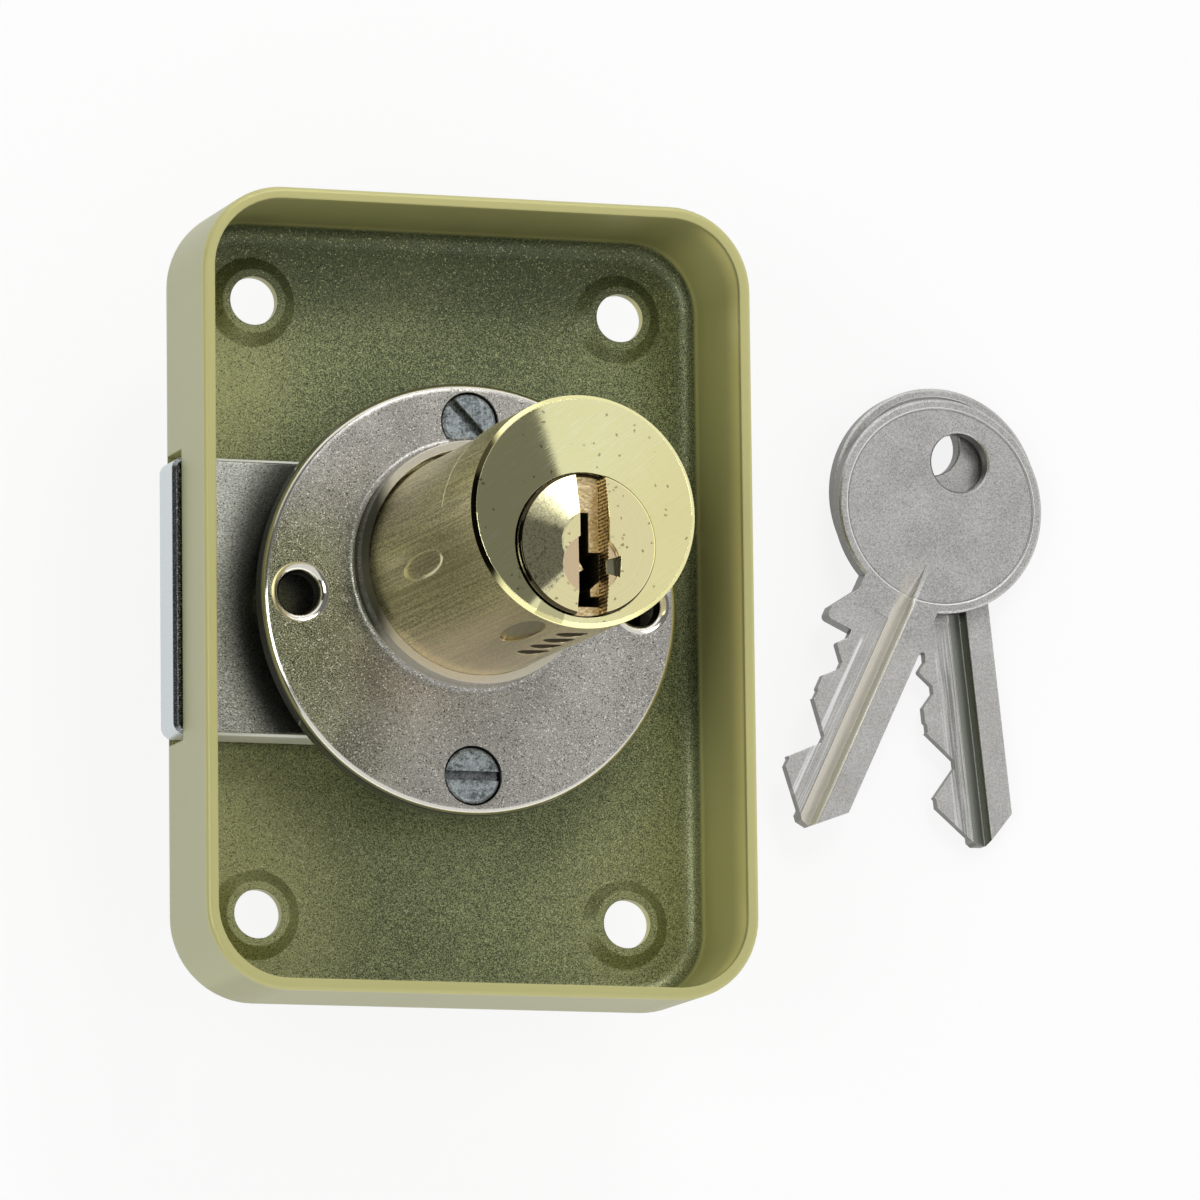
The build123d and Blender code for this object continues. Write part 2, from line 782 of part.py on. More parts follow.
def make_knob_screw():
    """Cheese-head screw that holds the knob on the spindle."""
    seat = knob_face_z + knob_recess_depth
    low = seat - knob_screw_head_height
    head = disk(knob_screw_head_d / 2, low, seat)
    head = chamfer(edges_at(head, low), rim_edge_r / 2)
    head -= block(
        -knob_screw_head_d, knob_screw_head_d, -knob_screw_slot / 2, knob_screw_slot / 2,
        low, low + knob_screw_slot_depth,
    )
    tip = spindle_end_z + knob_screw_length - rim_edge_r
    return head + disk(knob_screw_d / 2, seat, tip)


def blade_profile():
    """Side view of the uncut blade: distance from the stop, height from the back."""
    notch_height = key_blade_height - key_notch_depth
    points = [(-key_bow_centre, 0), (key_blade_length - key_tip_rise, 0)]
    points += [(key_blade_length, key_tip_height)]
    points += [(key_blade_length - key_nose_set_back, key_nose_height)]
    points += [(key_blade_length - key_nose_slope_run, key_blade_height)]
    points += [(2 * key_notch_run, key_blade_height), (key_notch_run, notch_height)]
    points += [(0, notch_height)]
    for step in range(4):
        a = math.radians(30 * step)
        points += [(
            key_stop_round * (math.cos(a) - 1),
            key_stop_height - key_stop_round * (1 - math.sin(a)),
        )]
    points += [(-key_stop_width, key_stop_height), (-key_neck_length, key_neck_height)]
    return points + [(-key_bow_centre, key_neck_height)]


def cut_profile(place, height):
    """Outline of one cut, a trapezoid that opens upwards."""
    top = key_blade_height + cut_margin
    foot = key_cut_flat / 2
    run = (top - height) / math.tan(math.radians(key_cut_angle)) + foot
    return [(place - foot, height), (place + foot, height), (place + run, top), (place - run, top)]


def blade_solid():
    """Blade with its section and its cuts, and the neck up to the bow."""
    half = key_thickness / 2
    flat = prism([(-h, -s) for s, h in blade_profile()], -half, half)
    for i, height in enumerate(key_cuts):
        cut = cut_profile(pin_first + i * pin_pitch, height)
        flat -= prism([(-h, -s) for s, h in cut], -half, half)
    start = Plane(origin=(0, -key_blade_length, 0), x_dir=(1, 0, 0), z_dir=(0, 1, 0))
    section = [(-h, -t) for h, t in key_section(0.0, key_stop_height)]
    ground = extrude(
        start * make_face(Polyline(*section, close=True)), key_blade_length, dir=(0, 1, 0)
    )
    neck = block(-key_bow_d, key_bow_d, 0, key_bow_d, -half, half)
    return flat & (ground + neck)


def groove_tail():
    """Cutter that carries the V groove over the neck to its point on the bow."""
    half = key_thickness / 2
    mouth = [
        (-key_groove_high, 0), (-key_groove_bottom - key_groove_floor, key_groove_depth),
        (-key_groove_bottom, key_groove_depth), (-key_groove_low, 0),
    ]
    first = Plane(origin=(0, 0, half), x_dir=(1, 0, 0), z_dir=(0, 1, 0))
    full = extrude(
        first * make_face(Polyline(*mouth, close=True)), key_groove_full, dir=(0, 1, 0)
    )
    end = first.offset(key_groove_full)
    point = Vertex(-key_groove_bottom - key_groove_floor, key_groove_run, half)
    return full + loft([end * make_face(Polyline(*mouth, close=True)), point], ruled=True)


def make_key(x, y, z, angle):
    """Key lying flat, blade along -Y and cuts to the left before it is turned."""
    half = key_thickness / 2
    bow_x = -key_bow_rise
    bow_y = key_bow_centre
    shape = blade_solid()
    shape -= block(
        -key_band_high, -key_groove_high, -key_blade_length, key_band_run,
        half - key_band_depth, half,
    )
    bow = disk(key_bow_d / 2, -half, half, bow_x, bow_y)
    bow = chamfer(bow.edges().filter_by(GeomType.CIRCLE), key_bow_edge)
    pocket_r = key_bow_d / 2 - key_rim_width
    bow -= disk(pocket_r, half - key_rim_height, half, bow_x, bow_y)
    bow -= disk(pocket_r, -half, -half + key_rim_height, bow_x, bow_y)
    keep = disk(pocket_r, -half, half, bow_x, bow_y)
    shape = (shape - keep) + bow - groove_tail()
    hole_y = bow_y + ring_hole_offset
    shape -= disk(ring_hole_d / 2, -half, half, bow_x, hole_y)
    face = half - key_rim_height
    for side in (-1, 1):
        mouth = Cone(ring_hole_d / 2, ring_hole_d / 2 + ring_hole_edge, ring_hole_edge)
        turn_over = Rot(0, 0, 0) if side > 0 else Rot(180, 0, 0)
        shape -= Pos(bow_x, hole_y, side * (face - ring_hole_edge / 2)) * turn_over * mouth
    placed = Pos(x, y, z) * Rot(0, 0, angle) * Pos(-bow_x, -bow_y, half)
    return placed * shape


nodes = {
    "case": make_case(),
    "guide_posts": make_guide_posts(),
    "cylinder_plate": make_cylinder_plate(),
    "plate_screws": make_plate_screws(),
    "cylinder_body": make_cylinder_body(),
    "chamber_caps": make_chamber_caps(),
    "pin_springs": make_pin_springs(),
    "driver_pins": make_driver_pins(),
    "spindle_bush": make_spindle_bush(),
    "plug": make_plug(),
    "key_pins": make_key_pins(),
    "plug_clip": make_plug_clip(),
    "tail_bar": make_tail_bar(),
    "drive_spindle": make_drive_spindle(),
    "drive_hub": make_drive_hub(),
    "drive_pinion": make_drive_pinion(),
    "knob_washer": make_knob_washer(),
    "knob": make_knob(),
    "knob_screw": make_knob_screw(),
    "bolt": make_bolt(),
    "key_rear": make_key(rear_key_x, rear_key_y, knob_face_z, rear_key_angle),
    "key_front": make_key(
        front_key_x, front_key_y, knob_face_z + key_thickness + key_stack_gap, front_key_angle
    ),
}

os.makedirs("parts", exist_ok=True)
for name, shape in nodes.items():
    save(shape, name)
    print(name, "volume", round(shape.volume, 1), "solids", len(shape.solids()))
print("throw", round(throw, 3))
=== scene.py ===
import math

import bmesh
import bpy
from mathutils import Matrix, Vector


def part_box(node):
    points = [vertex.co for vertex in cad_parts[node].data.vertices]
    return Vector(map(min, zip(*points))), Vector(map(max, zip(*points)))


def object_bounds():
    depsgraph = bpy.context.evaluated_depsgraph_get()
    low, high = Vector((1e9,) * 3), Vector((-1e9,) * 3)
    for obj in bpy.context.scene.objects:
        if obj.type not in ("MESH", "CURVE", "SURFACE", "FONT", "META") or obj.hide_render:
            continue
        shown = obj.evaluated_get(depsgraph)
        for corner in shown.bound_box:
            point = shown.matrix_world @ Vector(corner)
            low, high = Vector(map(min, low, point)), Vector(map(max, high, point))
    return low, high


# Rim lock with two keys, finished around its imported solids.
# Metres. The lock stands on its turn knob, the open side of its case upwards.
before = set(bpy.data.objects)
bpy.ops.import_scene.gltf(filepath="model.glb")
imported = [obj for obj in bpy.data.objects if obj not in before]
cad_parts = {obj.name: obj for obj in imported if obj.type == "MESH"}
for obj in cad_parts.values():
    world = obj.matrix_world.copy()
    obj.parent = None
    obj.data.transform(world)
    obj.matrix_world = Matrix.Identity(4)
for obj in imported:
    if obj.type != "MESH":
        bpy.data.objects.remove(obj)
cad_low, cad_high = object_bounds()

# Sizes on the object are written in millimetres
mm = 0.001

# Camera: where it aims in the plane of the case's rim, and how it leans away from that plane's axis
aim = Vector((12.4 * mm, -0.26 * mm, 0.0))
camera_distance = 1003.85 * mm
camera_turn = math.radians(-18.81)
camera_drop = math.radians(-8.558)
camera_roll = math.radians(-0.69)
lens_mm = 299.07
sensor_mm = 36.0
clip_near = 0.05
clip_far = 20.0

# Studio: a pale tent, brighter below, with two dark patches of a direction, a reach in degrees and a level.
# Each patch ends softly, over as many degrees as patch_soft says to either side
tent_level = 0.84
tent_low_level = 1.6
tent_low_from = 0.10
tent_low_to = 0.50
face_patch = ((-0.314, 0.273, 0.909), 33.9, 0.18)
side_patch = ((-0.937, -0.03, 0.339), 33.0, 0.05)
patch_soft = 0.10

# Two square lamps: place and size in metres, strength in watts
top_box = ((0.12, 0.60, 0.76), 0.33, 2.4)
left_box = ((-0.62, -0.05, 0.78), 0.40, 2.6)

# Floor: half its width, and how much of its own white the camera and the reflections see
floor_reach = 3.0
floor_seen = 0.85
floor_mirrored = 0.80

# Case and bolt
case_low, case_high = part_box("case")
bolt_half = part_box("bolt")[1].y
rim_low = 0.9 * mm
rim_high = 0.3 * mm
lip_width = 0.34 * mm
lip_soft = 0.14 * mm

# Painted glows of light on the case floor: middle, where they begin to fade and end, and strength
painted_floor_glows = (
    (-30 * mm, 24 * mm, 3 * mm, 19 * mm, 1.0),
    (-28 * mm, -28 * mm, 4 * mm, 26 * mm, 0.85),
    (22 * mm, -30 * mm, 2 * mm, 18 * mm, 0.35),
)

# Round plate and its screws
plate_r = 22.0 * mm
plate_edge_r = 0.9 * mm
plate_top_z = -3.7 * mm
neck_r = 12.9 * mm
hole_circle_r = 18.0 * mm
screw_spots = ((0.0, hole_circle_r), (0.0, -hole_circle_r))
side_holes = ((-hole_circle_r, 0.0), (hole_circle_r, 0.0))
side_mouth_r = 3.05 * mm
side_bore_r = 2.14 * mm
screw_head_r = 2.825 * mm
screw_play = 0.26 * mm
screw_chamfer = 0.3 * mm
screw_top_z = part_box("plate_screws")[1].z

# Lock cylinder. Ends and seams are angles round its axis, in degrees from the X axis
body_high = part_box("cylinder_body")[1]
body_r = 11.5 * mm
body_rise = 3.35 * mm
front_chamfer = 0.45 * mm
head_length = 10.0 * mm
step_ends = (80.0, 173.0)
oval_angle = -163.8
oval_set_back = 17.2 * mm
oval_half_width = 1.25 * mm
oval_half_length = 6.2 * mm
low_oval_ends = (-117.0, -102.0)
pocket_ends = (-104.0, -76.0)
pocket_front = 1.0 * mm
seam_angles = (-176.9, 171.1, -126.4)
seam_half = 0.35
# Angles where olive and tan reflections are painted on the side
olive_reflection_ends = (-176.0, -146.0)
tan_reflection_ends = (-132.0, -80.0)
face_slope = math.tan(math.radians(4.0))
hatch_angle = math.radians(-52)

# Key plug. The painted dark reflection and the satin part of its cone lie between angles in degrees
key_stop_z = 31.0 * mm
slot_right = 1.82 * mm
slot_chatter_high = 2.8 * mm
chatter_pitch = 0.36 * mm
notch_right = 3.1 * mm
notch_ends = (-3.4 * mm, -1.2 * mm)
notch_high = 33.45 * mm
entry_y = -2.1 * mm
entry_r = 2.9 * mm
entry_low = 33.5 * mm
crown_r = 2.8 * mm
skirt_r = 6.83 * mm
skirt_lean = 0.017
reflection_sector_from = 129.0
reflection_sector_to = -131.0
satin_ends = (122.0, 160.0)

# The two keys: middle of the bow and turn. Heights on the blade start at its back edge
key_bow_rise = 4.4 * mm
key_bow_centre = 16.6 * mm
key_ring_r = 10.45 * mm
front_key = ((60.4 * mm, 15.8 * mm, 0.0), math.radians(-25.6))
rear_key = ((60.9 * mm, 17.4 * mm, 0.0), math.radians(5.8))
blade_end = -0.5 * mm
steep_low = 2.62 * mm
slope_low = 3.15 * mm
slope_high = 4.70 * mm
band_high = 6.35 * mm
burr_low = 6.15 * mm
burr_high = 6.65 * mm
groove_strength = 0.9

# Sizes of the surface patterns, and how many samples a rounded edge takes
fine_grain = 0.12 * mm
fine_fleck = 0.11 * mm
pit_size = 0.26 * mm
edge_samples = 4


def screen(red, reflection_share, blue):
    """A colour given in screen values from 0 to 255, as a shader takes it."""
    parts = [v / 255 for v in (red, reflection_share, blue)]
    linear = [v / 12.92 if v <= 0.04045 else ((v + 0.055) / 1.055) ** 2.4 for v in parts]
    return (*linear, 1.0)


class Value:
    """What one socket gives. Python's operators on it add Math nodes."""

    def __init__(self, nodes, socket):
        self.nodes = nodes
        self.socket = socket

    def __add__(self, other):
        return self.nodes.maths("ADD", self, other)

    def __sub__(self, other):
        return self.nodes.maths("SUBTRACT", self, other)

    def __rsub__(self, other):
        return self.nodes.maths("SUBTRACT", other, self)

    def __mul__(self, other):
        return self.nodes.maths("MULTIPLY", self, other)

    def __truediv__(self, other):
        return self.nodes.maths("DIVIDE", self, other)

    def __pow__(self, other):
        return self.nodes.maths("POWER", self, other)

    def __abs__(self):
        return self.nodes.maths("ABSOLUTE", self)

    __radd__ = __add__
    __rmul__ = __mul__


class Nodes:
    """A node tree, and the patterns that its nodes make."""

    def __init__(self, tree, place):
        self.tree = tree
        tree.nodes.clear()
        self.place = self.node("ShaderNodeTexCoord", out=place)

    def node(self, kind, settings=None, values=None, out=0):
        """Adds a node: its settings first, then the values or links of its sockets."""
        made = self.tree.nodes.new(kind)
        for name, setting in (settings or {}).items():
            setattr(made, name, setting)
        for name, value in (values or {}).items():
            self.join(value, made.inputs[name])
        return Value(self, made.outputs[out]) if len(made.outputs) else None

    def join(self, value, socket):
        """Links a value to a socket, or sets a plain number or colour there."""
        if isinstance(value, Value):
            self.tree.links.new(value.socket, socket)
        else:
            socket.default_value = value

    def maths(self, operation, *values):
        return self.node("ShaderNodeMath", {"operation": operation}, dict(enumerate(values)))

    def vector(self, operation, *values, out=0):
        return self.node("ShaderNodeVectorMath", {"operation": operation}, dict(enumerate(values)), out)

    def scaled(self, where, factor):
        """A vector times one number."""
        return self.vector("MULTIPLY", where, (factor, factor, factor))

    def turned(self, angle, centre=(0, 0, 0)):
        """Object coordinates, turned about Z round a centre."""
        values = {"Vector": self.place, "Location": centre, "Rotation": (0, 0, angle)}
        return self.node("ShaderNodeMapping", {"vector_type": "TEXTURE"}, values)

    def part(self, where, axis):
        """One coordinate of a place."""
        return self.node("ShaderNodeSeparateXYZ", None, {0: where}, axis)

    def radius(self, x=0.0, y=0.0):
        """Distance from an upright axis through x and y."""
        flat = self.vector("MULTIPLY", self.vector("SUBTRACT", self.place, (x, y, 0)), (1, 1, 0))
        return self.vector("LENGTH", flat, out="Value")

    def bearing(self, x=0.0, y=0.0):
        """Angle round an upright axis through x and y, in degrees from -180 to 180."""
        across = self.part(self.place, "X") - x
        along = self.part(self.place, "Y") - y
        return self.maths("ARCTAN2", along, across) * (180 / math.pi)

    def outward(self, axis):
        """How far a surface faces along an axis, from -1 to 1."""
        return self.part(self.node("ShaderNodeNewGeometry", out="Normal"), axis)

    def noise(self, size, detail=2.0, rough=0.5, stretch=(1, 1, 1), where=None):
        """Soft noise from 0 to 1 with features of a size in metres."""
        spot = self.vector("MULTIPLY", where or self.place, tuple(s / size for s in stretch))
        values = {"Vector": spot, "Scale": 1.0, "Detail": detail, "Roughness": rough}
        return self.node("ShaderNodeTexNoise", None, values)

    def lines(self, along, size, detail=2.0):
        """Noise that changes along one coordinate only."""
        values = {"W": along / size, "Scale": 1.0, "Detail": detail}
        return self.node("ShaderNodeTexNoise", {"noise_dimensions": "1D"}, values)

    def cells(self, size, where=None):
        """A random number for each small cell."""
        values = {"Vector": self.scaled(where or self.place, 1 / size), "Scale": 1.0}
        colour = self.node("ShaderNodeTexVoronoi", None, values, "Color")
        return self.node("ShaderNodeSeparateColor", None, {0: colour}, 0)

    def rise(self, value, low, high):
        """0 below low, 1 above high and smooth between them."""
        values = {"Value": value, "From Min": low, "From Max": high}
        return self.node("ShaderNodeMapRange", {"interpolation_type": "SMOOTHSTEP"}, values)

    def fall(self, value, low, high):
        """1 below low, 0 above high and smooth between them."""
        return 1 - self.rise(value, low, high)

    def band(self, value, low, high, soft):
        """1 between low and high, with soft edges."""
        return self.rise(value, low - soft, low + soft) * self.fall(value, high - soft, high + soft)

    def disc(self, spot, r, soft):
        """1 within a radius of an upright axis, with a soft edge."""
        return self.fall(self.radius(*spot), r - soft, r + soft)

    def largest(self, *masks):
        """The largest of some masks at each spot."""
        found, *others = masks
        for mask in others:
            found = self.maths("MAXIMUM", found, mask)
        return found

    def blend(self, share, first, second, mode="MIX"):
        """Mixes two colours."""
        settings = {"data_type": "RGBA", "blend_type": mode}
        return self.node("ShaderNodeMix", settings, {0: share, 6: first, 7: second}, 2)


class Finish(Nodes):
    """One material: a Principled shader, and the patterns that feed it."""

    def __init__(self, name, **plain):
        self.material = bpy.data.materials.new(name)
        self.material.use_nodes = True
        super().__init__(self.material.node_tree, "Object")
        self.shader = self.node("ShaderNodeBsdfPrincipled")
        for socket, value in plain.items():
            self.feed(socket.replace("_", " "), value)

    def feed(self, name, value):
        """Sets or links a socket of the shader itself."""
        self.join(value, self.shader.socket.node.inputs[name])

    def show(self, surface):
        """Ends the material in a surface."""
        self.node("ShaderNodeOutputMaterial", None, {"Surface": surface})

    def relief(self, height, edge=0.12 * mm):
        """Rounds the edges and gives the surface a height in metres."""
        soft = self.node("ShaderNodeBevel", {"samples": edge_samples}, {"Radius": edge})
        values = {"Strength": 1.0, "Distance": 1.0, "Height": height, "Normal": soft}
        self.feed("Normal", self.node("ShaderNodeBump", None, values))


def dress(finish, *nodes):
    """Gives CAD nodes a finish."""
    finish.show(finish.shader)
    for name in nodes:
        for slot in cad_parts[name].material_slots:
            slot.material = finish.material


paint_shade = screen(64, 76, 48)
paint_light = screen(158, 164, 116)
painted_glow_tone = screen(196, 194, 130)
painted_top_wall_shadow = screen(58, 68, 54)
paint_fleck = screen(214, 218, 166)
paint_pit = screen(46, 52, 34)
wall_low = screen(158, 158, 100)
wall_high = screen(180, 178, 120)
right_wall_lit_low = screen(206, 204, 136)
right_wall_lit_high = screen(250, 240, 160)
bottom_wall_shade = screen(132, 130, 84)
left_wall_lit = screen(166, 168, 136)
rim_highlight_tone = screen(184, 180, 120)


def wall_paint(f, grain, cloud, rim_z):
    """Creamy olive of the upright walls, with painted light: the right wall is painted palest and lightest
    near its rim, the bottom wall darker as painted shade, the left one greyer as painted light.
    """
    across = f.part(f.place, "X")
    along = f.part(f.place, "Y")
    height = f.part(f.place, "Z")
    leftward = f.fall(f.outward("X"), -0.8, -0.3)
    downward = f.fall(f.outward("Y"), -0.8, -0.3)
    tone = f.blend(grain * 0.5 + cloud * 0.5, wall_low, wall_high)
    right = f.blend(f.rise(height, rim_z - 5 * mm, rim_z - 0.8 * mm), right_wall_lit_low, right_wall_lit_high)
    tone = f.blend(leftward * f.rise(across, 18 * mm, 22 * mm), tone, right)
    below = downward * f.fall(along, case_low.y + 1 * mm, case_low.y + 2 * mm)
    tone = f.blend(below * 0.6, tone, bottom_wall_shade)
    left = leftward * f.fall(across, -22 * mm, -18 * mm)
    return f.blend(left * 0.6, tone, left_wall_lit)


def fleck_paint(name, rim_z):
    """Olive gold paint: fine dark and light flecks on the flat, smooth and creamy on the walls. Painted glows
    of light and a painted shadow below the top wall lie on the flat, and the rim is painted lighter as a
    highlight.
    """
    f = Finish(name, Coat_Weight=0.2, Coat_Roughness=0.25)
    height = f.part(f.place, "Z")
    cloud = f.noise(16 * mm)
    grain = f.noise(fine_grain, rough=0.7)
    fleck = f.cells(fine_fleck)
    flat = f.rise(f.outward("Z"), 0.25, 0.55) * f.fall(height, rim_z - 4 * mm, rim_z - 2 * mm)
    rim = f.rise(height, rim_z - rim_low, rim_z - rim_high)
    light = f.rise(fleck, 0.94, 0.99)
    dark = f.fall(fleck, 0.04, 0.18)
    # Pools of light painted onto the flat as paler paint
    lit = sum(f.fall(f.radius(x, y), near, far) * share for x, y, near, far, share in painted_floor_glows)
    # Painted shadow of the top wall: the flat darkens towards it
    dim = f.rise(f.part(f.place, "Y"), 26 * mm, 37 * mm)
    tone = f.blend(f.rise(grain * 0.85 + cloud * 0.15, 0.43, 0.57), paint_shade, paint_light)
    tone = f.blend(lit * 0.55, tone, painted_glow_tone)
    tone = f.blend(dim * 0.60, tone, painted_top_wall_shadow)
    tone = f.blend(light * 0.6, tone, paint_fleck)
    tone = f.blend(dark * 0.75, tone, paint_pit)
    tone = f.blend(flat, wall_paint(f, grain, cloud, rim_z), tone)
    # The rim is painted lighter as a highlight
    f.feed("Base Color", f.blend(rim, tone, rim_highlight_tone))
    f.feed("Metallic", 0.35 + flat * 0.2)
    f.feed("Roughness", 0.40 - light * flat * 0.14 + grain * 0.08)
    bumps = grain * (0.008 * mm) + fleck * (0.004 * mm)
    f.relief(bumps * (0.3 + flat * 0.7), edge=0.25 * mm)
    return f


steel_pit = screen(52, 54, 46)
steel_fleck = screen(244, 242, 232)


def speckled(f, low, high, stretch=(1, 1, 1)):
    """Plated steel: a fine speckled grain between two tones."""
    cloud = f.noise(6 * mm)
    grain = f.noise(fine_grain, rough=0.7, stretch=stretch)
    fleck = f.cells(fine_fleck)
    tone = f.blend(f.rise(grain * 0.8 + cloud * 0.2, 0.40, 0.62), low, high)
    tone = f.blend(f.fall(fleck, 0.02, 0.14) * 0.8, tone, steel_pit)
    tone = f.blend(f.rise(fleck, 0.92, 0.98) * 0.8, tone, steel_fleck)
    return tone, grain


plate_grey = (screen(144, 141, 136), screen(198, 195, 189))
plate_reflection_tint = (screen(60, 64, 48), screen(180, 182, 152))
polished_highlight = screen(232, 229, 218)
neck_highlight = screen(206, 200, 184)
neck_shade = screen(36, 40, 30)
hole_shade = screen(38, 40, 32)
plate_side_shade = screen(30, 32, 26)


def plate_steel(name):
    """Round plate: speckled flat, with painted highlights on the polished edge, neck and hole mouths, and
    painted shade at the neck's left, in the holes and on its side.
    """
    f = Finish(name, Metallic=1.0)
    across = f.part(f.place, "X")
    height = f.part(f.place, "Z")
    reach = f.radius()
    # Painted reflection: the left part of the plate takes a dark greenish tint
    reflection_share = f.fall(across, -19 * mm, -3 * mm) * f.fall(f.part(f.place, "Y"), 4 * mm, 13 * mm)
    low, high = (f.blend(reflection_share, grey, tint) for grey, tint in zip(plate_grey, plate_reflection_tint))
    tone, grain = speckled(f, low, high)
    edge = f.rise(reach, plate_r - plate_edge_r * 0.75, plate_r - plate_edge_r * 0.6)
    side = f.rise(reach, plate_r - 0.14 * mm, plate_r - 0.06 * mm)
    neck = f.fall(f.radius(0, body_rise), neck_r + 0.1 * mm, neck_r + 0.3 * mm)
    neck = neck * f.rise(height, plate_top_z + 0.2 * mm, plate_top_z + 0.4 * mm)
    shade = neck * f.fall(across, -10.8 * mm, -8.6 * mm)
    deep = f.fall(height, plate_top_z - 0.6 * mm, plate_top_z - 0.2 * mm)
    mouths = [f.disc(spot, side_mouth_r, 0.04 * mm) for spot in side_holes]
    bores = [f.disc(spot, side_bore_r, 0.02 * mm) for spot in side_holes]
    seats = [f.disc(spot, screw_head_r + screw_play, 0.02 * mm) * deep for spot in screw_spots]
    # Painted highlights: edge, neck and hole mouths are painted near white, the neck also less metallic
    bright = f.largest(edge, neck, *mouths)
    sunk = f.largest(*bores, *seats)
    tone = f.blend(bright * 0.9, tone, f.blend(neck, polished_highlight, neck_highlight))
    tone = f.blend(shade * 0.95, tone, neck_shade)
    tone = f.blend(sunk * 0.9, tone, hole_shade)
    # The plate's side is painted dark as shade
    f.feed("Base Color", f.blend(side * 0.95, tone, plate_side_shade))
    f.feed("Metallic", 1 - neck * 0.5 - side * 0.8)
    f.feed("Roughness", (0.34 + grain * 0.14) * (1 - bright) + bright * 0.10 + neck * 0.12 + sunk * 0.2)
    f.relief(grain * (0.004 * mm) * (1 - bright), edge=0.16 * mm)
    return f


bolt_dim = (screen(128, 130, 122), screen(196, 198, 190))
bolt_lit = (screen(164, 166, 158), screen(226, 228, 220))
bolt_shadow = screen(48, 50, 36)
bolt_lip_highlight = screen(255, 255, 250)
bolt_end = screen(206, 214, 218)
bolt_end_top_specks = (screen(24, 26, 24), screen(170, 172, 170))


def bolt_steel(name):
    """Bolt: speckled flat, painted lighter towards its top and with the plate's painted shadow, lips painted
    bright as highlights, and a smooth pale end with a dark speckled top.
    """
    f = Finish(name, Metallic=1.0)
    along = f.part(f.place, "Y")
    lit = f.rise(along, -8 * mm, 8 * mm)
    low, high = (f.blend(lit, dim, pale) for dim, pale in zip(bolt_dim, bolt_lit))
    tone, grain = speckled(f, low, high, (0.5, 1, 1))
    end = f.fall(f.part(f.place, "X"), case_low.x + 0.1 * mm, case_low.x + 0.3 * mm)
    # Painted shadow of the round plate on the bolt near its edge
    painted_disc_shadow = f.fall(f.radius(), plate_r + 0.6 * mm, plate_r + 4.6 * mm)
    # The lips are painted bright as highlights
    lip = f.rise(abs(along), bolt_half - lip_width, bolt_half - lip_width + lip_soft)
    # The top of the end outside the case is painted dark with light specks
    dark_end_top = end * f.rise(f.outward("Z"), 0.5, 0.8)
    tone = f.blend(painted_disc_shadow * 0.85, tone, bolt_shadow)
    tone = f.blend(lip, tone, bolt_lip_highlight)
    tone = f.blend(end * 0.9, tone, bolt_end)
    tone = f.blend(dark_end_top * 0.95, tone, f.blend(f.rise(grain, 0.56, 0.60), *bolt_end_top_specks))
    f.feed("Base Color", tone)
    f.feed("Metallic", 1 - lip * 0.9)
    f.feed("Roughness", 0.28 + grain * 0.14 - end * 0.06)
    f.relief(grain * (0.006 * mm) * (1 - end), edge=0.18 * mm)
    return f


screw_tones = (screen(70, 78, 76), screen(180, 188, 190))
slot_shade = screen(34, 34, 26)


def plate_screw_steel(name):
    """Slotted screws: stained heads, dark slots and sides."""
    f = Finish(name, Metallic=1.0)
    height = f.part(f.place, "Z")
    grain = f.noise(0.24 * mm, detail=3.0, rough=0.8)
    stain = f.noise(0.7 * mm, detail=4.0, rough=0.75)
    sunk = f.fall(height, screw_top_z - 0.40 * mm, screw_top_z - 0.32 * mm)
    shoulder = f.band(height, screw_top_z - screw_chamfer, screw_top_z - 0.02 * mm, 0.01 * mm)
    tone = f.blend(f.rise(grain * 0.5 + stain * 0.5, 0.36, 0.60), *screw_tones)
    f.feed("Base Color", f.blend(sunk * 0.6, tone, slot_shade))
    f.feed("Metallic", 1 - shoulder * 0.6)
    f.feed("Roughness", 0.20 + grain * 0.14)
    f.relief(grain * (0.010 * mm) + stain * (0.03 * mm), edge=0.08 * mm)
    return f


drawn_tones = (screen(164, 154, 106), screen(255, 244, 200))
olive_reflection_brass = screen(138, 132, 82)
tan_reflection_brass = screen(255, 234, 194)
seam_brass = screen(236, 229, 184)
painted_edge_highlight = screen(255, 250, 206)


def oval_lines(f, around, height):
    """The shallow oval in the side, outlined by painted highlights: a bright crescent in front and a thin
    line behind.
    """
    side = (around - oval_angle) * (math.pi / 180 * body_r) / oval_half_width
    lengthwise = (height - (body_high.z - oval_set_back)) / oval_half_length
    oval = side ** 2 + lengthwise ** 2
    front = f.rise(side + lengthwise, 0.2, 0.9)
    crescent = f.band(oval, 0.55, 1.0, 0.06) * front
    thin = f.band(oval, 0.90, 1.04, 0.04) * (1 - front)
    return f.largest(crescent, thin * 0.5)


